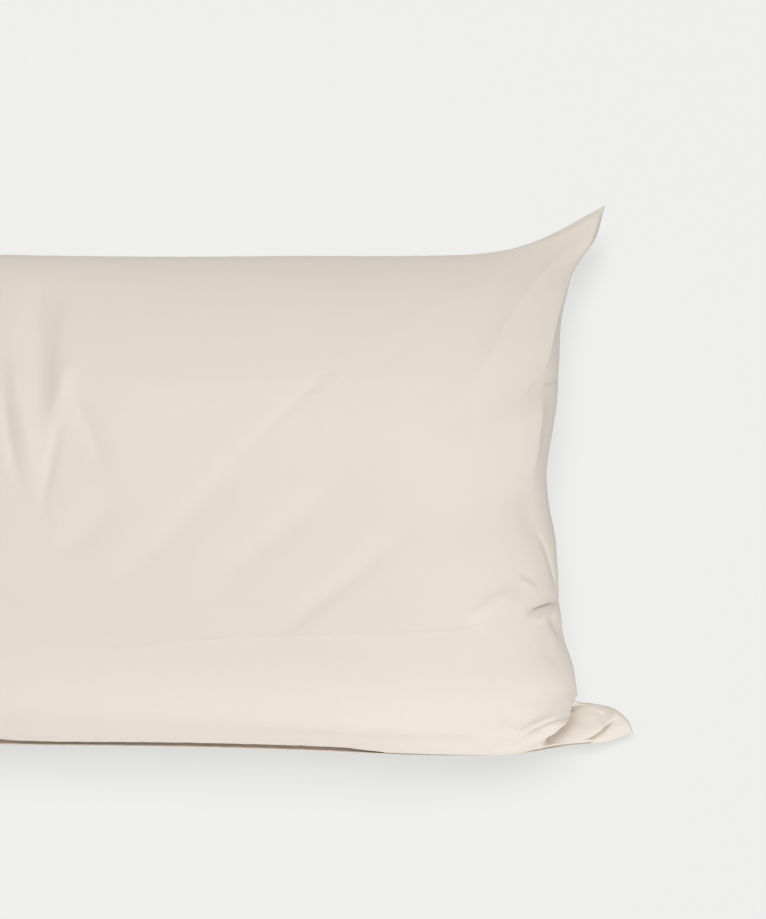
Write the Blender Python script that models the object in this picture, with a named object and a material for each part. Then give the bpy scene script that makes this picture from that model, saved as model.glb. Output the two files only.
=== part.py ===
"""A filled rectangular pillowcase, lying on its back.

Two cotton panels are sewn together on all four sides and filled, so the whole is one crowned
solid: its sides are drawn in between four pointed corners, its back is flat where it rests, and
the lower right corner is a flattened ear that the body bulges over.

Sizes are in metres, +Z is up and the face points up. Seen from above, +X runs along the length
and +Y across the width.
"""

import math
from typing import NamedTuple

import bmesh
import bpy
import numpy as np

NAME = "pillowcase"
MM = 0.001

# The two panels before they were filled.
CUT_LENGTH = 0.750
CUT_WIDTH = 0.500

# The filled form. A higher fullness holds the crown level further out before it turns down.
THICKNESS = 0.150
LENGTH_FULLNESS = 3.0
WIDTH_FULLNESS = 2.3
EDGE_ROUNDNESS = 0.5
FRONT_OVERHANG = 0.005
BACK_OVERHANG = 0.004
# The back is flat where it is fuller than this share, and turns up from there by this power.
RESTING_SHARE = 0.70
RESTING_TURN = 1.15
# Folds fade out this fast at the seam.
FOLD_FADE = 6.0

# The grid of each panel, crowded towards the seam.
LENGTH_CELLS = 52
WIDTH_CELLS = 38
CROWDING = 0.62
PATH_STEPS = 16
WELD = 1e-6

CLOTH_COLOUR = (0.806, 0.730, 0.650, 1.0)
CLOTH_ROUGHNESS = 0.85


class SeamPoint(NamedTuple):
    """A point that the seam runs through, in millimetres."""

    x: float
    y: float
    z: float


class Corner(NamedTuple):
    """How flat a corner is: its share of fullness lost at the tip, and how far in that reaches."""

    right: bool
    top: bool
    loss: float
    reach: float


class Fold(NamedTuple):
    """A soft ridge or trough between two points of the flat panel, measured from its centre.

    Lengths are in millimetres. A positive rise is a ridge, a negative one a trough.
    """

    start_x: float
    start_y: float
    end_x: float
    end_y: float
    width: float
    rise: float


# The seam of each side. The tips are shared by the two sides that meet there.
TOP_RIGHT = SeamPoint(362, 262, 46)
TOP_LEFT = SeamPoint(-366, 246, 22)
BOTTOM_RIGHT = SeamPoint(383, -196, 13)
BOTTOM_LEFT = SeamPoint(-362, -222, 18)

TOP_SEAM = (
    TOP_LEFT,
    SeamPoint(-332, 231, 38),
    SeamPoint(-290, 220, 50),
    SeamPoint(-235, 213, 57),
    SeamPoint(-170, 210, 60),
    SeamPoint(-9, 208, 61),
    SeamPoint(95, 209, 61),
    SeamPoint(200, 210, 61),
    SeamPoint(251, 213, 60),
    SeamPoint(273, 217, 59),
    SeamPoint(294, 224, 57),
    SeamPoint(320, 237, 53),
    SeamPoint(341, 250, 49),
    TOP_RIGHT,
)
BOTTOM_SEAM = (
    BOTTOM_LEFT,
    SeamPoint(-338, -219, 30),
    SeamPoint(-308, -214, 43),
    SeamPoint(-262, -208, 54),
    SeamPoint(-200, -205, 60),
    SeamPoint(-112, -206, 60),
    SeamPoint(27, -208, 60),
    SeamPoint(120, -211, 59),
    SeamPoint(182, -214, 56),
    SeamPoint(234, -215, 51),
    SeamPoint(265, -215, 45),
    SeamPoint(288, -213, 38),
    SeamPoint(307, -210, 31),
    SeamPoint(325, -207, 25),
    SeamPoint(355, -204, 18),
    BOTTOM_RIGHT,
)
RIGHT_SEAM = (
    BOTTOM_RIGHT,
    SeamPoint(379, -186, 15),
    SeamPoint(368, -176, 17),
    SeamPoint(349, -171, 22),
    SeamPoint(331, -168, 27),
    SeamPoint(325, -159, 33),
    SeamPoint(323, -140, 42),
    SeamPoint(317, -117, 49),
    SeamPoint(314, -91, 54),
    SeamPoint(313, -56, 57),
    SeamPoint(311, -28, 60),
    SeamPoint(307, -7, 62),
    SeamPoint(305, 23, 62),
    SeamPoint(309, 51, 61),
    SeamPoint(314, 79, 60),
    SeamPoint(317, 117, 59),
    SeamPoint(319, 159, 58),
    SeamPoint(324, 183, 57),
    SeamPoint(331, 199, 55),
    SeamPoint(340, 213, 53),
    SeamPoint(351, 228, 50),
    TOP_RIGHT,
)
LEFT_SEAM = (
    BOTTOM_LEFT,
    SeamPoint(-346, -208, 28),
    SeamPoint(-334, -190, 38),
    SeamPoint(-326, -160, 48),
    SeamPoint(-321, -110, 55),
    SeamPoint(-317, -50, 58),
    SeamPoint(-316, 10, 59),
    SeamPoint(-317, 70, 58),
    SeamPoint(-321, 125, 56),
    SeamPoint(-326, 172, 51),
    SeamPoint(-334, 204, 44),
    SeamPoint(-348, 226, 34),
    TOP_LEFT,
)

CORNERS = (
    Corner(right=True, top=True, loss=0.55, reach=0.095),
    Corner(right=False, top=True, loss=0.55, reach=0.090),
    Corner(right=False, top=False, loss=0.55, reach=0.090),
)

# The star of folds on the left, the long slanting folds, the turn at the right side and its
# puckers.
FACE_FOLDS = (
    Fold(-118, 205, -124, 72, 20, -4.6),
    Fold(-156, 110, -134, -8, 16, -2.0),
    Fold(352, 196, 222, 92, 26, -3.0),
    Fold(196, 150, 40, 4, 28, -2.5),
    Fold(236, -14, 70, -134, 28, -2.5),
    Fold(-34, 22, -158, -96, 26, -2.2),
    Fold(362, 170, 352, -140, 22, 2.4),
    Fold(376, -99, 328, -99, 10, -5.0),
    Fold(375, 82, 346, 86, 10, -3.5),
)

# The lower right ear: how far from its tip the body folds over it, along each side of the panel,
# how flat the ear is, how steep the fold's wall is and how far the body swells and leans past it.
# The lean grows from nothing at the lower seam to its full size this far in.
EAR_ALONG_LENGTH = 0.091
EAR_ALONG_WIDTH = 0.062
EAR_FLATNESS = 0.20
EAR_WALL = 0.28
EAR_BULGE = 0.014
EAR_BULGE_REACH = 1.6
EAR_OVERHANG = 0.014
EAR_OVERHANG_START = 0.030
EAR_HEADING = (0.97, -0.24)


def smooth_path(points: tuple[SeamPoint, ...]) -> np.ndarray:
    """Return a fine, evenly rounded path through the points, in metres."""
    knots = np.array(points, float) * MM
    chords = np.linalg.norm(np.diff(knots, axis=0), axis=1)
    at = np.concatenate([[0.0], np.cumsum(chords)])
    slopes = np.gradient(knots, at, axis=0)
    path = [knots[:1]]
    for i, chord in enumerate(chords):
        t = np.linspace(0.0, 1.0, PATH_STEPS + 1)[1:, None]
        path.append(
            (2 * t**3 - 3 * t**2 + 1) * knots[i]
            + (t**3 - 2 * t**2 + t) * chord * slopes[i]
            + (3 * t**2 - 2 * t**3) * knots[i + 1]
            + (t**3 - t**2) * chord * slopes[i + 1]
        )
    return np.concatenate(path)


def along(points: tuple[SeamPoint, ...], share: np.ndarray) -> np.ndarray:
    """Return the points of a seam at these shares of its length."""
    path = smooth_path(points)
    steps = np.linalg.norm(np.diff(path, axis=0), axis=1)
    at = np.concatenate([[0.0], np.cumsum(steps)])
    at /= at[-1]
    return np.stack([np.interp(share, at, path[:, axis]) for axis in range(3)], axis=-1)


def eased(share: np.ndarray) -> np.ndarray:
    """Return a smooth step from 0 to 1."""
    share = np.clip(share, 0.0, 1.0)
    return share * share * (3 - 2 * share)


def hump(share: np.ndarray) -> np.ndarray:
    """Return 1 halfway, falling to 0 at shares of 0 and 1."""
    return 4 * share * (1 - share)


def crowded(share: np.ndarray) -> np.ndarray:
    """Move evenly spaced shares of a side towards both of its ends."""
    gathered = 0.5 - 0.5 * np.cos(math.pi * share)
    return (1 - CROWDING) * share + CROWDING * gathered


def sewn_frame(u: np.ndarray, v: np.ndarray) -> np.ndarray:
    """Return the patch that the four seams span, at shares u of the length and v of the width."""
    bottom = along(BOTTOM_SEAM, u)
    top = along(TOP_SEAM, u)
    left = along(LEFT_SEAM, v)
    right = along(RIGHT_SEAM, v)
    u = u[:, None]
    v = v[:, None]
    tips = [np.array(tip) * MM for tip in (BOTTOM_LEFT, BOTTOM_RIGHT, TOP_LEFT, TOP_RIGHT)]
    corners = (1 - v) * ((1 - u) * tips[0] + u * tips[1]) + v * ((1 - u) * tips[2] + u * tips[3])
    return (1 - v) * bottom + v * top + (1 - u) * left + u * right - corners


def corner_share(corner: Corner, u: np.ndarray, v: np.ndarray) -> np.ndarray:
    """Return the share of fullness that is left near one corner."""
    from_side = (1 - u if corner.right else u) * CUT_LENGTH
    from_end = (1 - v if corner.top else v) * CUT_WIDTH
    distance = np.hypot(from_side, from_end)
    return 1 - corner.loss * np.exp(-((distance / corner.reach) ** 2))


def fullness(u: np.ndarray, v: np.ndarray) -> tuple[np.ndarray, np.ndarray]:
    """Return how full the case is along its length and across its width, from 0 at the seam."""
    lengthwise = 1 - np.abs(2 * u - 1) ** LENGTH_FULLNESS
    crosswise = 1 - np.abs(2 * v - 1) ** WIDTH_FULLNESS
    return lengthwise**EDGE_ROUNDNESS, crosswise**EDGE_ROUNDNESS


def crown(u: np.ndarray, v: np.ndarray) -> np.ndarray:
    """Return how full the case is at each point, from 0 at the seam to 1 in the middle."""
    lengthwise, crosswise = fullness(u, v)
    full = lengthwise * crosswise
    for corner in CORNERS:
        full = full * corner_share(corner, u, v)
    return full


def outward(u: np.ndarray, v: np.ndarray) -> np.ndarray:
    """Return the level direction away from the middle of the case, towards the nearest side."""
    lengthwise, crosswise = fullness(u, v)
    x = (1 - lengthwise) * np.sign(u - 0.5)
    y = (1 - crosswise) * np.sign(v - 0.5)
    size = np.maximum(np.hypot(x, y), 1e-9)
    return np.stack([x / size, y / size], axis=-1)


def ear_distance(u: np.ndarray, v: np.ndarray) -> np.ndarray:
    """Return 0 at the tip of the lower right ear and 1 on the fold where the body meets it."""
    return (1 - u) * CUT_LENGTH / EAR_ALONG_LENGTH + v * CUT_WIDTH / EAR_ALONG_WIDTH


def fold_strength(fold: Fold, u: np.ndarray, v: np.ndarray) -> np.ndarray:
    """Return 1 along the middle of a fold, fading out over its width."""
    x = (u - 0.5) * CUT_LENGTH / MM - fold.start_x
    y = (v - 0.5) * CUT_WIDTH / MM - fold.start_y
    run = np.array([fold.end_x - fold.start_x, fold.end_y - fold.start_y])
    length = np.hypot(*run)
    run = run / length
    forward = x * run[0] + y * run[1]
    aside = x * run[1] - y * run[0]
    past_end = forward - np.clip(forward, 0.0, length)
    distance = np.hypot(aside, past_end)
    return np.exp(-((distance / fold.width) ** 2))


def front_panel(u: np.ndarray, v: np.ndarray) -> np.ndarray:
    """Return the points of the face at shares u of the length and v of the width."""
    points = sewn_frame(u, v)
    full = crown(u, v)
    inside = ear_distance(u, v) - 1
    wall = eased(inside / EAR_WALL)
    full = full * (EAR_FLATNESS + (1 - EAR_FLATNESS) * wall)
    swell = wall * np.exp(-np.clip(inside, 0.0, None) / EAR_BULGE_REACH)
    from_seam = np.minimum(1.0, full * FOLD_FADE)
    height = points[:, 2] * (1 - full) + THICKNESS * full
    height = height + EAR_BULGE * swell * from_seam
    for fold in FACE_FOLDS:
        height = height + fold.rise * MM * fold_strength(fold, u, v) * from_seam
    spread = FRONT_OVERHANG * hump(full)
    lean = EAR_OVERHANG * swell**2 * from_seam * eased(v * CUT_WIDTH / EAR_OVERHANG_START)
    points[:, :2] += outward(u, v) * spread[:, None] + np.array(EAR_HEADING) * lean[:, None]
    points[:, 2] = height
    return points


def back_panel(u: np.ndarray, v: np.ndarray) -> np.ndarray:
    """Return the points of the back, flat where it rests on z = 0."""
    points = sewn_frame(u, v)
    drop = 1 - np.clip(crown(u, v) / RESTING_SHARE, 0.0, 1.0)
    spread = BACK_OVERHANG * hump(drop)
    points[:, :2] += outward(u, v) * spread[:, None]
    points[:, 2] *= drop**RESTING_TURN
    return points


def add_panel(mesh: bmesh.types.BMesh, panel) -> None:
    """Add one panel as a grid and bring each of its points to its place."""
    made = bmesh.ops.create_grid(mesh, x_segments=LENGTH_CELLS, y_segments=WIDTH_CELLS, size=0.5)
    verts = made["verts"]
    flat = np.array([vert.co for vert in verts]) + 0.5
    places = panel(crowded(flat[:, 0]), crowded(flat[:, 1]))
    for vert, place in zip(verts, places):
        vert.co = place


def split_tips(mesh: bmesh.types.BMesh) -> None:
    """Divide the face at each tip from the tip inwards, so that the two panels part there."""
    tips = [vert for vert in mesh.verts if len(vert.link_edges) == 2]
    for tip in tips:
        beside = {edge.other_vert(tip) for edge in tip.link_edges}
        for face in list(tip.link_faces):
            inner = next(vert for vert in face.verts if vert is not tip and vert not in beside)
            bmesh.utils.face_split(face, tip, inner)


def centre_on_base(mesh: bmesh.types.BMesh) -> None:
    """Bring the middle of the case over the origin and its resting face to z = 0."""
    places = np.array([vert.co for vert in mesh.verts])
    low = places.min(axis=0)
    high = places.max(axis=0)
    shift = -0.5 * (low + high)
    shift[2] = -low[2]
    bmesh.ops.translate(mesh, verts=mesh.verts, vec=shift)


def clear_scene() -> None:
    """Remove every object that the file starts with."""
    for thing in list(bpy.data.objects):
        bpy.data.objects.remove(thing, do_unlink=True)


def cotton() -> bpy.types.Material:
    """Return the plain cream cotton."""
    material = bpy.data.materials.new("cotton")
    material.use_nodes = True
    shader = material.node_tree.nodes["Principled BSDF"]
    shader.inputs["Base Color"].default_value = CLOTH_COLOUR
    shader.inputs["Roughness"].default_value = CLOTH_ROUGHNESS
    shader.inputs["Metallic"].default_value = 0.0
    return material


def make_pillowcase(collection: bpy.types.Collection) -> bpy.types.Object:
    """Sew the two panels into one filled body and put it in the collection."""
    mesh = bmesh.new()
    add_panel(mesh, front_panel)
    add_panel(mesh, back_panel)
    bmesh.ops.remove_doubles(mesh, verts=mesh.verts, dist=WELD)
    split_tips(mesh)
    bmesh.ops.recalc_face_normals(mesh, faces=mesh.faces)
    centre_on_base(mesh)
    data = bpy.data.meshes.new(NAME)
    mesh.to_mesh(data)
    mesh.free()
    data.shade_smooth()
    data.materials.append(cotton())
    body = bpy.data.objects.new(NAME, data)
    collection.objects.link(body)
    return body


def main() -> None:
    """Build the pillowcase."""
    clear_scene()
    collection = bpy.data.collections.new("filled_pillowcase")
    bpy.context.scene.collection.children.link(collection)
    make_pillowcase(collection)


main()
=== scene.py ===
"""The looks of a filled cotton pillowcase, lying on its back on a pale floor.

The case is made as a sewer would see it: two flat panels, each point of which is known by how far
it lies from the panel's middle, joined along four seams, filled, and then creased and puckered.
The camera looks down on the face from a little below its lower long side.
"""

import logging
import math
from dataclasses import dataclass, field
from enum import Enum
from typing import Callable, NamedTuple

import bmesh
import bpy
import numpy as np
from mathutils import Matrix, Vector
from mathutils.kdtree import KDTree


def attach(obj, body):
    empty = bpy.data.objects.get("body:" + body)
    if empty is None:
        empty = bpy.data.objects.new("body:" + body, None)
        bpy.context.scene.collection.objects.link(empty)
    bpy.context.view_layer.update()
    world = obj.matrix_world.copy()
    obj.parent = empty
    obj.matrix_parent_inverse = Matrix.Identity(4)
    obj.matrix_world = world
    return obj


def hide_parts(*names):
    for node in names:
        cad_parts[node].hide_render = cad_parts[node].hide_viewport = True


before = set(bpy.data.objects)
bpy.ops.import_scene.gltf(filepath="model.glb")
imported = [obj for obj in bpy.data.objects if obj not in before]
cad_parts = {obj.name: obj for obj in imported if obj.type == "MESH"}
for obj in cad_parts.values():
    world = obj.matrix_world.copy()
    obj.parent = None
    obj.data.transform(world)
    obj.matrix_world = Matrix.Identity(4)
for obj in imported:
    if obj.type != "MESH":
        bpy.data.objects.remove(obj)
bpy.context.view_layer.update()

LOG = logging.getLogger("pillowcase")
MM = 0.001
WELD = 1e-6
NEARLY_NONE = 1e-9
TEXTURE_WAVE = math.pi / 10  # length of the wave texture's waves at a scale of 1, in metres

Colour = tuple[float, float, float]
Place = tuple[float, float, float]


class Side(Enum):
    """One of the two panels of the case."""

    FACE = "face"
    BACK = "back"


class Flank(Enum):
    """How a fold's flanks fall away from its line."""

    SOFT = "soft"
    CREASED = "creased"


class SeamPoint(NamedTuple):
    """A point that a seam runs through, in millimetres."""

    x: float
    y: float
    z: float


class Corner(NamedTuple):
    """How flat a corner is: its share of fullness lost at the tip, and how far in that reaches."""

    right: bool
    top: bool
    loss: float
    reach: float


class Fold(NamedTuple):
    """A ridge or trough in the cloth, in millimetres from the middle of the flat panel.

    It runs from its start past a middle point to its end. A positive rise is a ridge and a
    negative one a trough. The left and right widths are those of its flanks, looking along it.
    """

    start_x: float
    start_y: float
    via_x: float
    via_y: float
    end_x: float
    end_y: float
    left: float
    right: float
    rise: float
    flank: Flank


class TuckPoint(NamedTuple):
    """A point of the tuck's section, in millimetres, and the share of the gap that it moves by.

    It is reached this far along the cloth, and lies this far in from the lip and above it.
    """

    along: float
    inward: float
    gap_share: float
    above: float


class GapPoint(NamedTuple):
    """How wide the tuck's gap is at a place along the lower side, in millimetres."""

    x: float
    width: float


def seam(*points: Place) -> tuple[SeamPoint, ...]:
    """Return the points of a seam as such, from plain rows of three numbers."""
    return tuple(SeamPoint(*point) for point in points)


# The seam of each side, in millimetres. The tips are shared by the two sides that meet there.
TOP_RIGHT = SeamPoint(362, 262, 46)
TOP_LEFT = SeamPoint(-366, 246, 22)
BOTTOM_RIGHT = SeamPoint(383, -196, 13)
BOTTOM_LEFT = SeamPoint(-362, -222, 18)

TOP_SEAM = seam(
    TOP_LEFT,
    (-332, 231, 38), (-290, 220, 50), (-235, 213, 57), (-170, 210, 60), (-9, 208, 61),
    (95, 209, 61), (200, 210, 61), (251, 213, 60), (273, 217, 59), (294, 224, 57), (320, 237, 53),
    (341, 250, 49),
    TOP_RIGHT,
)
BOTTOM_SEAM = seam(
    BOTTOM_LEFT,
    (-338, -219, 30), (-308, -214, 43), (-262, -208, 54), (-200, -205, 60), (-112, -206, 60),
    (27, -208, 60), (120, -211, 59), (182, -214, 56), (234, -215, 51), (265, -215, 45),
    (288, -213, 38), (307, -210, 31), (325, -207, 25), (355, -204, 18),
    BOTTOM_RIGHT,
)
RIGHT_SEAM = seam(
    BOTTOM_RIGHT,
    (379, -186, 15), (368, -176, 17), (349, -171, 22), (331, -168, 27), (325, -159, 33),
    (323, -140, 42), (317, -117, 49), (314, -91, 54), (313, -56, 57), (311, -28, 60),
    (307, -7, 62), (305, 23, 62), (309, 51, 61), (314, 79, 60), (317, 117, 59), (319, 159, 58),
    (324, 183, 57), (331, 199, 55), (340, 213, 53), (351, 228, 50),
    TOP_RIGHT,
)
LEFT_SEAM = seam(
    BOTTOM_LEFT,
    (-346, -208, 28), (-334, -190, 38), (-326, -160, 48), (-321, -110, 55), (-317, -50, 58),
    (-316, 10, 59), (-317, 70, 58), (-321, 125, 56), (-326, 172, 51), (-334, 204, 44),
    (-348, 226, 34),
    TOP_LEFT,
)

CORNERS = (
    Corner(right=True, top=True, loss=0.55, reach=0.095),
    Corner(right=False, top=True, loss=0.55, reach=0.090),
    Corner(right=False, top=False, loss=0.55, reach=0.090),
)

SOFT = Flank.SOFT
CREASED = Flank.CREASED

# The broad shapes of the filling: the bulge that it sags into above the lower seam, where the
# rounded upper side meets the flatter middle, and where the body is drawn in above its ear.
BROAD_FOLDS = (
    Fold(-350, -174, -20, -182, 300, -174, 76, 34, 8.0, SOFT),
    Fold(-340, 122, 40, 112, 300, 122, 70, 60, 4.2, SOFT),
    Fold(-96, 103, 86, 107, 256, 114, 30, 60, 1.5, CREASED),
    Fold(374, -174, 344, -206, 290, -242, 7, 6, -3.2, SOFT),
)

# The star of folds on the left of the face.
STAR_FOLDS = (
    Fold(-131, 214, -129, 136, -126, 54, 10, 11, -5.4, SOFT),
    Fold(-150, 222, -141, 150, -128, 66, 8, 9, -2.2, SOFT),
    Fold(-110, 216, -117, 146, -124, 70, 8, 8, -2.0, SOFT),
    Fold(-151, 132, -144, 72, -124, 0, 9, 9, 3.0, SOFT),
    Fold(-95, 128, -107, 96, -119, 54, 7, 7, 1.4, SOFT),
    Fold(-161, 100, -155, 46, -134, -12, 4, 5, -1.6, SOFT),
    Fold(-109, 70, -115, 27, -123, -18, 5, 5, -2.0, SOFT),
    Fold(-121, -2, -118, -16, -108, -34, 5, 5, -1.0, SOFT),
    Fold(-104, 114, -86, 62, -56, 16, 10, 5, -3.0, SOFT),
    Fold(-114, -51, -78, -31, -49, 18, 16, 12, -1.4, SOFT),
)

# The long slanting folds that the filling's weight draws across the face.
SLANTED_FOLDS = (
    Fold(162, 130, 107, 84, 52, 28, 5, 6, -0.8, SOFT),
    Fold(84, 54, 16, -16, -78, -98, 16, 13, -1.4, SOFT),
    Fold(184, 32, 98, -29, 12, -94, 14, 12, -1.1, SOFT),
    Fold(226, -12, 153, -70, 84, -122, 7, 9, -1.15, SOFT),
    Fold(268, -98, 297, -84, 328, -81, 5, 10, 1.6, SOFT),
)

# The creases that packing pressed into the cloth, and the undercut where the body meets its ear.
SHARP_CREASES = (
    Fold(-70, -135, 100, -114, 308, -101, 1.5, 1.5, 0.34, CREASED),
    Fold(-90, 67, 86, 90, 276, 106, 1.5, 1.5, 0.17, CREASED),
    Fold(386, -174, 348, -206, 293, -248, 4.0, 2.5, -9.0, CREASED),
)

# The turn of the right side, and the pulls and puckers along its seam.
RIGHT_FOLDS = (
    Fold(370, 188, 359, 139, 346, 86, 9.0, 40.0, 6.2, CREASED),
    Fold(346, 86, 347, 46, 353, -8, 10.0, 40.0, 5.6, CREASED),
    Fold(377, 83, 362, 84, 346, 87, 1.6, 3.0, -2.2, CREASED),
    Fold(352, 88, 340, 87, 328, 78, 2.0, 3.0, -1.0, SOFT),
    Fold(342, 4, 342, -20, 350, -50, 10.0, 10.0, -1.5, SOFT),
    Fold(345, -32, 361, -62, 370, -99, 2.0, 3.6, -2.4, CREASED),
    Fold(323, -66, 334, -71, 345, -77, 2.0, 2.0, -0.9, SOFT),
    Fold(323, -71, 334, -76, 345, -83, 2.0, 3.0, 1.0, SOFT),
    Fold(381, -101, 354, -98, 330, -100, 2.4, 3.4, -6.0, CREASED),
    Fold(376, -108, 356, -106, 336, -108, 3.0, 4.0, 1.3, SOFT),
    Fold(353, -104, 362, -116, 372, -136, 6.0, 4.0, -2.0, SOFT),
    Fold(343, -128, 350, -137, 358, -150, 4.0, 4.0, -0.5, SOFT),
)

# The ridges beside the lower right corner, and the folds of its ear.
EAR_FOLDS = (
    Fold(358, -178, 294, -205, 222, -248, 3.0, 3.4, 2.2, SOFT),
    Fold(358, -185, 292, -214, 226, -252, 2.6, 2.8, -2.2, SOFT),
    Fold(358, -191, 306, -219, 256, -249, 3.0, 3.0, 1.8, SOFT),
    Fold(388, -179, 370, -186, 352, -196, 6.0, 6.0, -6.0, SOFT),
    Fold(377, -223, 349, -238, 322, -247, 0.9, 9.0, 3.8, CREASED),
    Fold(372, -230, 346, -241, 326, -248, 1.6, 1.6, -4.4, CREASED),
    Fold(366, -214, 358, -228, 352, -235, 1.5, 2.5, -1.8, CREASED),
)

# The ridge that runs down from the upright corner, that of its seam allowance, and the turn of its
# right edge.
HORN_FOLDS = (
    Fold(342, 250, 306, 158, 250, 74, 44, 15, 6.0, CREASED),
    Fold(286, 247, 330, 240, 368, 244, 3.0, 6.0, 1.2, SOFT),
    Fold(373, 250, 367, 230, 366, 196, 5.0, 12.0, 2.6, SOFT),
)

# The tuck over the lower seam: the lip, the gap's floor, and the underside of the face's edge.
TUCK_SECTION = (
    TuckPoint(0.0, 0.0, 0.0, 0.0),
    TuckPoint(0.7, 0.3, 0.0, -1.5),
    TuckPoint(1.5, 0.7, 0.2, -9.0),
    TuckPoint(2.4, 0.7, 1.1, -10.0),
    TuckPoint(3.2, 0.7, 1.5, -6.0),
    TuckPoint(4.0, 0.7, 1.0, 6.0),
)
TUCK_GAP = (
    GapPoint(-345, 0.0),
    GapPoint(-300, 2.4),
    GapPoint(-164, 3.3),
    GapPoint(-148, 2.3),
    GapPoint(-110, 1.9),
    GapPoint(-45, 2.3),
    GapPoint(80, 2.6),
    GapPoint(126, 2.5),
    GapPoint(142, 1.2),
    GapPoint(158, 0.32),
    GapPoint(240, 0.25),
    GapPoint(290, 0.19),
    GapPoint(336, 0.14),
    GapPoint(352, 0.0),
)

FINE_FOLDS = STAR_FOLDS + SLANTED_FOLDS + RIGHT_FOLDS + EAR_FOLDS + HORN_FOLDS


def eased(share: np.ndarray) -> np.ndarray:
    """Return a smooth step from 0 to 1."""
    share = np.clip(share, 0.0, 1.0)
    return share * share * (3 - 2 * share)


def hump(share: np.ndarray) -> np.ndarray:
    """Return 1 halfway, falling to 0 at shares of 0 and 1."""
    return 4 * share * (1 - share)


def put_in_scene(name: str, data: bpy.types.ID) -> bpy.types.Object:
    """Make an object and link it to the scene.

    Args:
        name: the object's name.
        data: its mesh, light or camera.

    Returns:
        The object.
    """
    thing = bpy.data.objects.new(name, data)
    bpy.context.scene.collection.objects.link(thing)
    return thing


def finished(name: str, mesh: bmesh.types.BMesh) -> bpy.types.Mesh:
    """Turn a mesh under construction into a finished one.

    Args:
        name: the finished mesh's name.
        mesh: the mesh under construction, which is freed.

    Returns:
        The finished mesh.
    """
    data = bpy.data.meshes.new(name)
    mesh.to_mesh(data)
    mesh.free()
    return data


def set_inputs(node: bpy.types.Node, values: dict[str, float | tuple[float, ...]]) -> None:
    """Give a node's own inputs their constants, by name."""
    for name, value in values.items():
        node.inputs[name].default_value = value


@dataclass(frozen=True)
class SeamPath:
    """A seam as an evenly rounded path through its points.

    Args:
        points: what the path runs through, in millimetres.
        steps: how many short runs join one point to the next.
    """

    points: tuple[SeamPoint, ...]
    steps: int = 16

    def trace(self) -> np.ndarray:
        """Work out the fine path.

        Returns:
            Its points, in metres.
        """
        knots = np.array(self.points, float) * MM
        chords = np.linalg.norm(np.diff(knots, axis=0), axis=1)
        at = np.concatenate([[0.0], np.cumsum(chords)])
        slopes = np.gradient(knots, at, axis=0)
        path = [knots[:1]]
        for i, chord in enumerate(chords):
            t = np.linspace(0.0, 1.0, self.steps + 1)[1:, None]
            path.append(
                (2 * t**3 - 3 * t**2 + 1) * knots[i]
                + (t**3 - 2 * t**2 + t) * chord * slopes[i]
                + (3 * t**2 - 2 * t**3) * knots[i + 1]
                + (t**3 - t**2) * chord * slopes[i + 1]
            )
        return np.concatenate(path)

    def at(self, share: np.ndarray) -> np.ndarray:
        """Return the points at these shares of the seam's length.

        Args:
            share: shares from 0 at the start to 1 at the end.

        Returns:
            One point a share, in metres.
        """
        path = self.trace()
        steps = np.linalg.norm(np.diff(path, axis=0), axis=1)
        reached = np.concatenate([[0.0], np.cumsum(steps)])
        reached /= reached[-1]
        return np.stack([np.interp(share, reached, path[:, axis]) for axis in range(3)], axis=-1)


@dataclass(frozen=True)
class Ear:
    """The flattened lower right corner, and the body that bulges over it.

    Lengths are in metres. A share is one of the way from the tip to where the body folds over.

    Args:
        along_length: how far from the tip the body folds over, along the long side.
        along_width: the same, along the short side.
        flatness: how much of its fullness the ear keeps.
        wall: over what share the body rises to its full height.
        bulge: how far the body bulges upwards.
        bulge_reach: over what share the bulge fades.
        overhang: how far the body leans out over the ear.
        overhang_start: how far in from the lower seam it leans out fully.
        heading: which way it leans.
    """

    along_length: float = 0.091
    along_width: float = 0.062
    flatness: float = 0.20
    wall: float = 0.28
    bulge: float = 0.014
    bulge_reach: float = 1.6
    overhang: float = 0.014
    overhang_start: float = 0.030
    heading: tuple[float, float] = (0.97, -0.24)


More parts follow.
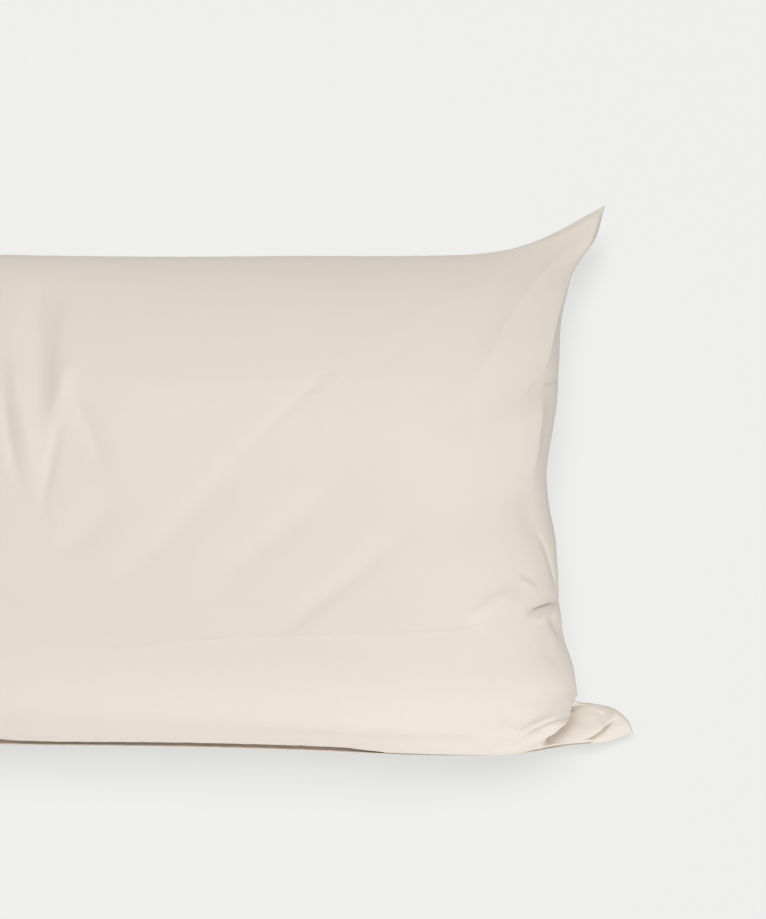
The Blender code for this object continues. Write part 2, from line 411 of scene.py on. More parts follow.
@dataclass(frozen=True)
class FilledForm:
    """The case as it is filled: where each point of its two flat panels lies.

    Lengths are in metres. A point of a panel is given by its share u of the length and its share v
    of the width, from the lower left corner.

    Args:
        length: length of the flat panels.
        width: their width.
        thickness: height of the filled case.
        length_fullness: how far towards its ends the case keeps its height.
        width_fullness: how far towards its long sides it does.
        edge_roundness: how steeply it rises from its seams.
        face_overhang: how far the face stands out past its seam.
        back_overhang: how far the back does.
        resting_share: the fullness from which the back lies on the floor.
        resting_turn: how sharply the back turns up from there.
        fold_fade: how soon, in from the seam, the bulge over the ear is full.
        middle: the point between the seams that is moved to the origin.
        ear: the flattened corner.
    """

    length: float = 0.750
    width: float = 0.500
    thickness: float = 0.150
    length_fullness: float = 3.0
    width_fullness: float = 2.3
    edge_roundness: float = 0.5
    face_overhang: float = 0.005
    back_overhang: float = 0.004
    resting_share: float = 0.70
    resting_turn: float = 1.15
    fold_fade: float = 6.0
    middle: tuple[float, float] = (0.0085, 0.020)
    ear: Ear = field(default_factory=Ear)

    def sewn_frame(self, u: np.ndarray, v: np.ndarray) -> np.ndarray:
        """Span a patch between the four seams.

        Args:
            u: shares of the length.
            v: shares of the width.

        Returns:
            One point for each pair of shares, in metres.
        """
        bottom = SeamPath(BOTTOM_SEAM).at(u)
        top = SeamPath(TOP_SEAM).at(u)
        left = SeamPath(LEFT_SEAM).at(v)
        right = SeamPath(RIGHT_SEAM).at(v)
        u = u[:, None]
        v = v[:, None]
        tips = [np.array(tip) * MM for tip in (BOTTOM_LEFT, BOTTOM_RIGHT, TOP_LEFT, TOP_RIGHT)]
        low = (1 - u) * tips[0] + u * tips[1]
        high = (1 - u) * tips[2] + u * tips[3]
        corners = (1 - v) * low + v * high
        return (1 - v) * bottom + v * top + (1 - u) * left + u * right - corners

    def corner_share(self, corner: Corner, u: np.ndarray, v: np.ndarray) -> np.ndarray:
        """Work out how much flatter the case is near one corner.

        Args:
            corner: the corner.
            u: shares of the length.
            v: shares of the width.

        Returns:
            The share of fullness that is left.
        """
        from_side = (1 - u if corner.right else u) * self.length
        from_end = (1 - v if corner.top else v) * self.width
        distance = np.hypot(from_side, from_end)
        return 1 - corner.loss * np.exp(-((distance / corner.reach) ** 2))

    def fullness(self, u: np.ndarray, v: np.ndarray) -> tuple[np.ndarray, np.ndarray]:
        """Work out how full the case is between each pair of sides.

        Args:
            u: shares of the length.
            v: shares of the width.

        Returns:
            The fullness along the length, and that across the width, from 0 at the seam.
        """
        lengthwise = 1 - np.abs(2 * u - 1) ** self.length_fullness
        crosswise = 1 - np.abs(2 * v - 1) ** self.width_fullness
        return lengthwise**self.edge_roundness, crosswise**self.edge_roundness

    def crown(self, u: np.ndarray, v: np.ndarray) -> np.ndarray:
        """Work out how full the case is.

        Args:
            u: shares of the length.
            v: shares of the width.

        Returns:
            The fullness, from 0 at the seam to 1 in the middle.
        """
        lengthwise, crosswise = self.fullness(u, v)
        full = lengthwise * crosswise
        for corner in CORNERS:
            full = full * self.corner_share(corner, u, v)
        return full

    def outward(self, u: np.ndarray, v: np.ndarray) -> np.ndarray:
        """Find the level direction towards the nearest side.

        Args:
            u: shares of the length.
            v: shares of the width.

        Returns:
            One direction of length 1 for each pair of shares.
        """
        lengthwise, crosswise = self.fullness(u, v)
        x = (1 - lengthwise) * np.sign(u - 0.5)
        y = (1 - crosswise) * np.sign(v - 0.5)
        size = np.maximum(np.hypot(x, y), NEARLY_NONE)
        return np.stack([x / size, y / size], axis=-1)

    def ear_distance(self, u: np.ndarray, v: np.ndarray) -> np.ndarray:
        """Return 0 at the ear's tip and 1 on the fold where the body meets it."""
        along_length = (1 - u) * self.length / self.ear.along_length
        return along_length + v * self.width / self.ear.along_width

    def face(self, u: np.ndarray, v: np.ndarray) -> np.ndarray:
        """Place the points of the face.

        Args:
            u: shares of the length.
            v: shares of the width.

        Returns:
            One point for each pair of shares, in metres.
        """
        points = self.sewn_frame(u, v)
        full = self.crown(u, v)
        inside = self.ear_distance(u, v) - 1
        wall = eased(inside / self.ear.wall)
        full = full * (self.ear.flatness + (1 - self.ear.flatness) * wall)
        swell = wall * np.exp(-np.clip(inside, 0.0, None) / self.ear.bulge_reach)
        from_seam = np.minimum(1.0, full * self.fold_fade)
        height = points[:, 2] * (1 - full) + self.thickness * full
        points[:, 2] = height + self.ear.bulge * swell * from_seam
        spread = self.face_overhang * hump(full)
        lean = self.ear.overhang * swell**2 * from_seam
        lean = lean * eased(v * self.width / self.ear.overhang_start)
        points[:, :2] += self.outward(u, v) * spread[:, None]
        points[:, :2] += np.array(self.ear.heading) * lean[:, None]
        points[:, :2] -= self.middle
        return points

    def back(self, u: np.ndarray, v: np.ndarray) -> np.ndarray:
        """Place the points of the back, flat where it rests on the floor.

        Args:
            u: shares of the length.
            v: shares of the width.

        Returns:
            One point for each pair of shares, in metres.
        """
        points = self.sewn_frame(u, v)
        drop = 1 - np.clip(self.crown(u, v) / self.resting_share, 0.0, 1.0)
        spread = self.back_overhang * hump(drop)
        points[:, :2] += self.outward(u, v) * spread[:, None]
        points[:, 2] *= drop**self.resting_turn
        points[:, :2] -= self.middle
        return points

    def panel(self, side: Side) -> Callable[[np.ndarray, np.ndarray], np.ndarray]:
        """Return the method that places the points of one panel."""
        return self.face if side is Side.FACE else self.back

    def from_seams(self, x: np.ndarray, y: np.ndarray) -> tuple[np.ndarray, np.ndarray]:
        """Measure how far points of a flat panel lie in from its seams, in millimetres.

        Args:
            x: distances along the panel's length from its middle.
            y: distances across its width from its middle.

        Returns:
            How far in from the short sides each point lies, and how far in from the long sides.
        """
        return 0.5 * self.length / MM - np.abs(x), 0.5 * self.width / MM - np.abs(y)


@dataclass(frozen=True)
class CreaseSet:
    """Folds that lie in the cloth of one panel.

    Args:
        folds: the folds, one a row.
        fade: how much of a fold's length it takes to rise or sink at each end.
        samples: how many short runs follow a fold's curve.
    """

    folds: tuple[Fold, ...]
    fade: float = 0.35
    samples: int = 14

    def curve(self, fold: Fold) -> np.ndarray:
        """Follow a fold's curve through its three points.

        Args:
            fold: the fold.

        Returns:
            Points along it, in millimetres.
        """
        start = np.array([fold.start_x, fold.start_y])
        via = np.array([fold.via_x, fold.via_y])
        end = np.array([fold.end_x, fold.end_y])
        pull = 2 * via - 0.5 * (start + end)
        t = np.linspace(0.0, 1.0, self.samples + 1)[:, None]
        return (1 - t) ** 2 * start + 2 * t * (1 - t) * pull + t**2 * end

    def nearest(self, fold: Fold, x: np.ndarray, y: np.ndarray) -> tuple[np.ndarray, np.ndarray]:
        """Return how far each point lies from a fold, and how far along it.

        Args:
            fold: the fold.
            x: distances along the panel's length, in millimetres.
            y: distances across its width, in millimetres.

        Returns:
            The distance, above 0 on the fold's left, and the share of the fold's length.
        """
        line = self.curve(fold)
        best = np.full(x.shape, np.inf)
        share = np.zeros(x.shape)
        for i in range(self.samples):
            run = line[i + 1] - line[i]
            span = max(float(np.hypot(*run)), NEARLY_NONE)
            run = run / span
            across = x - line[i, 0]
            up = y - line[i, 1]
            forward = np.clip(across * run[0] + up * run[1], 0.0, span)
            gap_x = across - forward * run[0]
            gap_y = up - forward * run[1]
            gap = np.hypot(gap_x, gap_y)
            side = np.where(run[0] * gap_y - run[1] * gap_x >= 0, 1.0, -1.0)
            closer = gap < np.abs(best)
            best = np.where(closer, gap * side, best)
            share = np.where(closer, (i + forward / span) / self.samples, share)
        return best, share

    def rise(self, x: np.ndarray, y: np.ndarray) -> np.ndarray:
        """Add up how far the folds lift each point.

        Args:
            x: distances along the panel's length, in millimetres.
            y: distances across its width, in millimetres.

        Returns:
            The lift of each point, in metres.
        """
        lift = np.zeros(x.shape)
        for fold in self.folds:
            gap, share = self.nearest(fold, x, y)
            width = np.where(gap > 0, fold.left, fold.right)
            across = np.abs(gap) / width
            if fold.flank is Flank.SOFT:
                profile = np.exp(-(across**2))
            else:
                profile = np.exp(-across)
            ends = eased(share / self.fade) * eased((1 - share) / self.fade)
            lift += fold.rise * MM * profile * ends
        return lift


@dataclass(frozen=True)
class SewnEdge:
    """The raised band that the seam allowance makes inside each edge, and its small puckers.

    Lengths are in millimetres.

    Args:
        allowance: width of the band.
        band_start: how far in from the seam the band reaches its full height.
        band_end: over what width it falls again.
        band_rise: how high it is.
        pucker_start: how far in the puckers reach their full height.
        pucker_rise: how high they are.
        pucker_reach: how fast they fade away from the seam.
        pucker_lengths: lengths of the waves that make them up.
    """

    allowance: float = 9.0
    band_start: float = 2.5
    band_end: float = 3.0
    band_rise: float = 0.12
    pucker_start: float = 3.0
    pucker_rise: float = 0.22
    pucker_reach: float = 14.0
    pucker_lengths: tuple[float, ...] = (13.0, 19.0, 31.0)

    def rise(self, x: np.ndarray, y: np.ndarray, form: FilledForm) -> np.ndarray:
        """Return how far the seam lifts each point of a panel, in metres.

        Args:
            x: distances along the panel's length from its middle, in millimetres.
            y: distances across its width from its middle, in millimetres.
            form: the form that the panel belongs to.

        Returns:
            The lift of each point.
        """
        from_end, from_side = form.from_seams(x, y)
        inside = np.minimum(from_end, from_side)
        along = np.where(from_end < from_side, y, x)
        band = eased(inside / self.band_start)
        band = band * (1 - eased((inside - self.allowance) / self.band_end))
        waves = sum(np.sin(2 * math.pi * along / pitch + pitch) for pitch in self.pucker_lengths)
        pucker = waves / len(self.pucker_lengths) * eased(inside / self.pucker_start)
        pucker = pucker * np.exp(-inside / self.pucker_reach)
        return MM * (self.band_rise * band + self.pucker_rise * pucker)


@dataclass(frozen=True)
class Tuck:
    """The lower edge of the face, tucked in over its seam so that a dark gap shows between them.

    Args:
        section: the tuck's section, from the lip to the underside of the face's edge.
        gap: how wide the gap is along the lower side.
        fade: the narrowest gap that has the section's full depth, in millimetres.
        recess: how fast the edge's inward pull fades into the face, in millimetres.
        reach: how far into the face it is drawn at all, in millimetres.
    """

    section: tuple[TuckPoint, ...] = TUCK_SECTION
    gap: tuple[GapPoint, ...] = TUCK_GAP
    fade: float = 0.5
    recess: float = 14.0
    reach: float = 42.0

    def shape(
        self, form: FilledForm, x: np.ndarray, y: np.ndarray, places: np.ndarray
    ) -> np.ndarray:
        """Draw the tuck into the points of the face near the lower seam.

        Args:
            form: the form that the face belongs to.
            x: distances along the panel's length from its middle, in millimetres.
            y: distances across its width from its middle, in millimetres.
            places: where the face's points lie, in metres.

        Returns:
            Where they lie with the tuck.
        """
        along = y + 0.5 * form.width / MM
        near = along < self.reach
        u = x[near] * MM / form.length + 0.5
        along = along[near]
        section = np.array(self.section)
        gap = np.interp(x[near], *np.array(self.gap).T)
        lip = form.face(u, np.zeros(len(u)))
        inward = np.interp(along, section[:, 0], section[:, 1])
        inward = inward + gap * np.interp(along, section[:, 0], section[:, 2])
        tucked = lip.copy()
        tucked[:, 1] += inward * MM
        tucked[:, 2] += np.interp(along, section[:, 0], section[:, 3]) * MM
        edge = self.section[-1]
        foot = form.face(u, np.full(len(u), edge.along * MM / form.width))
        pull = np.clip(lip[:, 1] + (edge.inward + gap) * MM - foot[:, 1], 0.0, None)
        inside = along - edge.along
        drawn = places[near].copy()
        drawn[:, 1] += pull * np.exp(-((inside / self.recess) ** 2))
        drawn = np.where((inside <= 0)[:, None], tucked, drawn)
        share = eased(gap / self.fade)[:, None]
        result = places.copy()
        result[near] = places[near] * (1 - share) + drawn * share
        return result


@dataclass(frozen=True)
class Settling:
    """How the cut cloth settles over the filling, by Blender's cloth simulation.

    Two flat panels can't follow the filled form without puckers. The simulation finds them: its
    cloth starts on the form, wants to be as flat as it was cut and is pressed out by the filling.
    Only the puckers are kept, as a small lift of each point, and their height is capped.

    Args:
        cells_x: cells along a panel's length.
        cells_y: cells across its width.
        frames: how long the cloth moves.
        quality: steps of the simulation in a frame.
        mass: weight of each of the cloth's points, in kilograms.
        pressure: the filling's pressure.
        stiffness: how hard the cloth resists being stretched or squeezed.
        shear: how hard it resists being pulled aslant.
        bending: how hard it resists being bent.
        damping: how fast stretching and shearing die away.
        bending_damping: how fast bending dies away.
        air_damping: how much the air slows the cloth.
        broad: width of the shapes that are left to the form, in cells.
        tails: how many such widths the running mean takes in to either side.
        cap: the highest pucker, in metres.
        strength: share of the puckers that is kept.
    """

    cells_x: int = 128
    cells_y: int = 86
    frames: int = 14
    quality: int = 6
    mass: float = 0.05
    pressure: float = 4.0
    stiffness: float = 15.0
    shear: float = 5.0
    bending: float = 0.5
    damping: float = 2.0
    bending_damping: float = 0.3
    air_damping: float = 4.0
    broad: float = 6.0
    tails: float = 3.0
    cap: float = 0.003
    strength: float = 0.2

    def even_shares(self) -> tuple[np.ndarray, np.ndarray]:
        """Lay out an even grid, row by row.

        Returns:
            The shares u and v of its points.
        """
        u, v = np.meshgrid(
            np.linspace(0.0, 1.0, self.cells_x + 1), np.linspace(0.0, 1.0, self.cells_y + 1)
        )
        return u.ravel(), v.ravel()

    def cloth(self, form: FilledForm) -> bpy.types.Object:
        """Lay both panels on the form, joined at the seam.

        Args:
            form: the filled form.

        Returns:
            The cloth, with the shape that it was cut to as a shape key.
        """
        mesh = bmesh.new()
        cut = mesh.verts.layers.float_vector.new("cut")
        for side in Side:
            made = bmesh.ops.create_grid(
                mesh, x_segments=self.cells_x, y_segments=self.cells_y, size=0.5
            )["verts"]
            flat = np.array([vert.co for vert in made]) + 0.5
            places = form.panel(side)(flat[:, 0], flat[:, 1])
            for vert, place, share in zip(made, places, flat):
                vert.co = place
                vert[cut] = ((share[0] - 0.5) * form.length, (share[1] - 0.5) * form.width, 0.0)
        bmesh.ops.remove_doubles(mesh, verts=mesh.verts, dist=WELD)
        bmesh.ops.recalc_face_normals(mesh, faces=mesh.faces)
        cut_places = [tuple(vert[cut]) for vert in mesh.verts]
        thing = put_in_scene("settling", finished("settling", mesh))
        thing.shape_key_add(name="filled")
        key = thing.shape_key_add(name="cut")
        for point, place in zip(key.data, cut_places):
            point.co = place
        key.value = 0.0
        return thing

    def press(self, thing: bpy.types.Object, form: FilledForm) -> None:
        """Add the cloth simulation, held along the seam.

        Args:
            thing: both panels, joined.
            form: the filled form that they lie on.
        """
        held = thing.vertex_groups.new(name="seam")
        for point, vert in zip(thing.data.shape_keys.key_blocks["cut"].data, thing.data.vertices):
            out = max(abs(point.co.x) / form.length, abs(point.co.y) / form.width)
            if math.isclose(out, 0.5, abs_tol=0.1 / self.cells_x):
                held.add([vert.index], 1.0, "REPLACE")
        modifier = thing.modifiers.new("Cloth", "CLOTH")
        settings = modifier.settings
        settings.quality = self.quality
        settings.mass = self.mass
        settings.tension_stiffness = self.stiffness
        settings.compression_stiffness = self.stiffness
        settings.shear_stiffness = self.shear
        settings.bending_stiffness = self.bending
        settings.tension_damping = self.damping
        settings.compression_damping = self.damping
        settings.shear_damping = self.damping
        settings.bending_damping = self.bending_damping
        settings.air_damping = self.air_damping
        settings.use_pressure = True
        settings.uniform_pressure_force = self.pressure
        settings.effector_weights.gravity = 0.0
        settings.rest_shape_key = thing.data.shape_keys.key_blocks["cut"]
        settings.vertex_group_mass = "seam"
        modifier.collision_settings.use_collision = False
        modifier.point_cache.frame_start = 1
        modifier.point_cache.frame_end = self.frames

    def settle(self, form: FilledForm) -> dict[Side, np.ndarray]:
        """Find each panel's puckers.

        Args:
            form: the filled form that the cloth lies on.

        Returns:
            For each panel the lift of the even grid's points, a row for each share v, in metres.
        """
        rows = (self.cells_y + 1, self.cells_x + 1)
        thing = self.cloth(form)
        self.press(thing, form)
        scene = bpy.context.scene
        for step in range(1, self.frames + 1):
            scene.frame_set(step)
        seen = thing.evaluated_get(bpy.context.evaluated_depsgraph_get()).to_mesh()
        settled = np.array([vert.co for vert in seen.vertices])
        start = np.array([vert.co for vert in thing.data.vertices])
        normals = np.array([vert.normal for vert in thing.data.vertices])
        lift = np.einsum("ij,ij->i", settled - start, normals)
        tree = KDTree(len(start))
        for index, place in enumerate(start):
            tree.insert(place, index)
        tree.balance()
        puckers = {}
        u, v = self.even_shares()
        for side in Side:
            order = [tree.find(place)[1] for place in form.panel(side)(u, v)]
            puckers[side] = self.keep_puckers(lift[order].reshape(rows))
        scene.frame_set(1)
        bpy.data.objects.remove(thing, do_unlink=True)
        return puckers

    def blurred(self, lift: np.ndarray) -> np.ndarray:
        """Smooth a lift by a running mean, weighted by a bell curve.

        Args:
            lift: the lift of the even grid's points.

        Returns:
            Its broad shape.
        """
        reach = int(self.tails * self.broad)
        bell = np.exp(-0.5 * (np.arange(-reach, reach + 1) / self.broad) ** 2)
        bell /= bell.sum()
        padded = np.pad(lift, reach, mode="reflect")
        smooth = np.apply_along_axis(np.convolve, 0, padded, bell, mode="valid")
        return np.apply_along_axis(np.convolve, 1, smooth, bell, mode="valid")

    def keep_puckers(self, lift: np.ndarray) -> np.ndarray:
        """Take the broad shape off a lift and cap what is left."""
        fine = (lift - self.blurred(lift)) * self.strength
        return self.cap * np.tanh(fine / self.cap)

    def sample(self, puckers: np.ndarray, u: np.ndarray, v: np.ndarray) -> np.ndarray:
        """Read the puckers between the even grid's points.

        Args:
            puckers: the lift of the even grid's points.
            u: shares of the length.
            v: shares of the width.

        Returns:
            The lift of each point, in metres.
        """
        column = u * self.cells_x
        row = v * self.cells_y
        left = np.clip(column.astype(int), 0, self.cells_x - 1)
        low = np.clip(row.astype(int), 0, self.cells_y - 1)
        across = eased(column - left)
        up = eased(row - low)
        lower = puckers[low, left] * (1 - across) + puckers[low, left + 1] * across
        upper = puckers[low + 1, left] * (1 - across) + puckers[low + 1, left + 1] * across
        return lower * (1 - up) + upper * up


@dataclass(frozen=True)
class PanelGrid:
    """The lines of quads that both panels are made of, closer together where detail is finer.

    A density says how much closer the lines lie at a place, and its reach how far that goes, as a
    share of the side that the lines cross.

    Args:
        length_cells: cells along the length.
        width_cells: cells across the width.
        edge_density: density beside every seam.
        edge_reach: its reach.
        right_density: what the right seam adds.
        right_reach: its reach.
        low_density: what the lower seam adds.
        low_reach: its reach.
        pressed_rows: where the pressed creases lie, as shares of the width.
        pressed_density: what they add.
        pressed_reach: its reach.
        samples: at how many points the density is added up.
    """

    length_cells: int = 280
    width_cells: int = 254
    edge_density: float = 2.4
    edge_reach: float = 0.022
    right_density: float = 1.1
    right_reach: float = 0.10
    low_density: float = 0.8
    low_reach: float = 0.10
    pressed_rows: tuple[float, float] = (0.277, 0.675)
    pressed_density: float = 1.0
    pressed_reach: float = 0.05
    samples: int = 2001

    def lines(
        self,
        cells: int,
        near_start: float,
        near_end: float,
        reach: float,
        inner: tuple[float, ...] = (),
    ) -> np.ndarray:
        """Space the lines across one side.

        Args:
            cells: how many cells the lines divide the side into.
            near_start: how much closer they lie at its start.
            near_end: how much closer they lie at its end.
            reach: how far in that reaches, as a share of the side.
            inner: other places where they lie closer.

        Returns:
            The shares, from 0 to 1.
        """
        share = np.linspace(0.0, 1.0, self.samples)
        density = 1 + self.edge_density * (
            np.exp(-((share / self.edge_reach) ** 2))
            + np.exp(-(((1 - share) / self.edge_reach) ** 2))
        )
        density += near_start * np.exp(-((share / reach) ** 2))
        density += near_end * np.exp(-(((1 - share) / reach) ** 2))
        for place in inner:
            density += self.pressed_density * np.exp(
                -(((share - place) / self.pressed_reach) ** 2)
            )
        filled = np.concatenate([[0.0], np.cumsum(0.5 * (density[1:] + density[:-1]))])
        return np.interp(np.linspace(0.0, 1.0, cells + 1), filled / filled[-1], share)

    def shares(self, flat: np.ndarray) -> tuple[np.ndarray, np.ndarray]:
        """Move the points of an even grid to the lines.

        Args:
            flat: where each point lies on the even grid, from 0 to 1.

        Returns:
            The shares u and v of the points.
        """
        along = self.lines(self.length_cells, 0.0, self.right_density, self.right_reach)
        across = self.lines(
            self.width_cells, self.low_density, 0.0, self.low_reach, self.pressed_rows
        )
        u = np.interp(flat[:, 0], np.linspace(0.0, 1.0, len(along)), along)
        v = np.interp(flat[:, 1], np.linspace(0.0, 1.0, len(across)), across)
        return u, v


@dataclass(frozen=True)
class Percale:
    """A smooth matte cotton percale, warm cream, with slubs along its threads.

    Lengths are in metres.

    Args:
        colour: the cloth's colour.
        shade: colour of its darker patches.
        patch_scale: how many patches there are to a metre.
        patch_detail: how ragged they are.
        shade_end: the noise up to which the shade is full.
        colour_start: the noise from which the colour is full.
        roughness: how matte the cloth is.
        sheen: how much light its fuzz adds.
        sheen_roughness: how far that spreads.
        thread_pitch: width of a thread.
        weave_depth: depth of the weave.
        weave_strength: how much of it shows.
        slubs_along: how many slubs follow one another in a metre of thread.
        slubs_across: how many lie side by side in a metre of cloth.
        slub_detail: how uneven they are.
        slub_depth: their height.
        slub_strength: how much of it shows.
    """

    colour: Colour = (0.806, 0.730, 0.650)
    shade: Colour = (0.797, 0.717, 0.634)
    patch_scale: float = 5.0
    patch_detail: float = 3.0
    shade_end: float = 0.25
    colour_start: float = 0.62
    roughness: float = 0.86
    sheen: float = 0.10
    sheen_roughness: float = 0.45
    thread_pitch: float = 0.00042
    weave_depth: float = 0.00006
    weave_strength: float = 0.5
    slubs_along: float = 18.0
    slubs_across: float = 420.0
    slub_detail: float = 2.0
    slub_depth: float = 0.00010
    slub_strength: float = 0.4

    def make(self) -> bpy.types.Material:
        """Make the cloth's material.

        Returns:
            The material.
        """
        material = bpy.data.materials.new("cream_percale")
        material.use_nodes = True
        tree = material.node_tree
        shader = tree.nodes["Principled BSDF"]
        set_inputs(
            shader,
            {
                "Roughness": self.roughness,
                "Sheen Weight": self.sheen,
                "Sheen Roughness": self.sheen_roughness,
            },
        )
        cloth = tree.nodes.new("ShaderNodeUVMap")
        cloth.uv_map = "cloth"
        self.tint(tree, cloth, shader)
        self.relief(tree, cloth, shader)
        return material

    def tint(self, tree: bpy.types.NodeTree, cloth: bpy.types.Node, shader: bpy.types.Node) -> None:
        """Vary the cloth's colour a little, in broad patches.

        Args:
            tree: the material's nodes.
            cloth: the node that gives the flat cloth's places.
            shader: the cloth's shader.
        """
        patches = tree.nodes.new("ShaderNodeTexNoise")
        set_inputs(patches, {"Scale": self.patch_scale, "Detail": self.patch_detail})
        ramp = tree.nodes.new("ShaderNodeValToRGB")
        ramp.color_ramp.elements[0].position = self.shade_end
        ramp.color_ramp.elements[0].color = (*self.shade, 1.0)
        ramp.color_ramp.elements[1].position = self.colour_start
        ramp.color_ramp.elements[1].color = (*self.colour, 1.0)
        tree.links.new(cloth.outputs["UV"], patches.inputs["Vector"])
        tree.links.new(patches.outputs["Fac"], ramp.inputs["Fac"])
        tree.links.new(ramp.outputs["Color"], shader.inputs["Base Color"])

    def thread(self, tree: bpy.types.NodeTree, cloth: bpy.types.Node, axis: str) -> bpy.types.Node:
        """Add the fine ribs of the threads that lie side by side along one axis.

        Args:
            tree: the material's nodes.
            cloth: the node that gives the flat cloth's places.
            axis: "X" or "Y".

        Returns:
            The node of the ribs.
        """
        ribs = tree.nodes.new("ShaderNodeTexWave")
        ribs.bands_direction = axis
        set_inputs(ribs, {"Scale": TEXTURE_WAVE / self.thread_pitch, "Distortion": 0.0})
        tree.links.new(cloth.outputs["UV"], ribs.inputs["Vector"])
        return ribs

    def relief(
        self, tree: bpy.types.NodeTree, cloth: bpy.types.Node, shader: bpy.types.Node
    ) -> None:
        """Raise the weave and its slubs.

        Args:
            tree: the material's nodes.
            cloth: the node that gives the flat cloth's places.
            shader: the cloth's shader.
        """
        crossing = tree.nodes.new("ShaderNodeMath")
        crossing.operation = "MULTIPLY"
        for socket, axis in enumerate(("X", "Y")):
            tree.links.new(self.thread(tree, cloth, axis).outputs["Fac"], crossing.inputs[socket])
        weave = tree.nodes.new("ShaderNodeBump")
        set_inputs(weave, {"Strength": self.weave_strength, "Distance": self.weave_depth})
        tree.links.new(crossing.outputs["Value"], weave.inputs["Height"])
        previous = weave
        for scale in ((self.slubs_along, self.slubs_across), (self.slubs_across, self.slubs_along)):
            turned = tree.nodes.new("ShaderNodeMapping")
            set_inputs(turned, {"Scale": (*scale, 1.0)})
            slubs = tree.nodes.new("ShaderNodeTexNoise")
            set_inputs(slubs, {"Scale": 1.0, "Detail": self.slub_detail})
            bump = tree.nodes.new("ShaderNodeBump")
            set_inputs(bump, {"Strength": self.slub_strength, "Distance": self.slub_depth})
            tree.links.new(cloth.outputs["UV"], turned.inputs["Vector"])
            tree.links.new(turned.outputs["Vector"], slubs.inputs["Vector"])
            tree.links.new(slubs.outputs["Fac"], bump.inputs["Height"])
            tree.links.new(previous.outputs["Normal"], bump.inputs["Normal"])
            previous = bump
        tree.links.new(previous.outputs["Normal"], shader.inputs["Normal"])


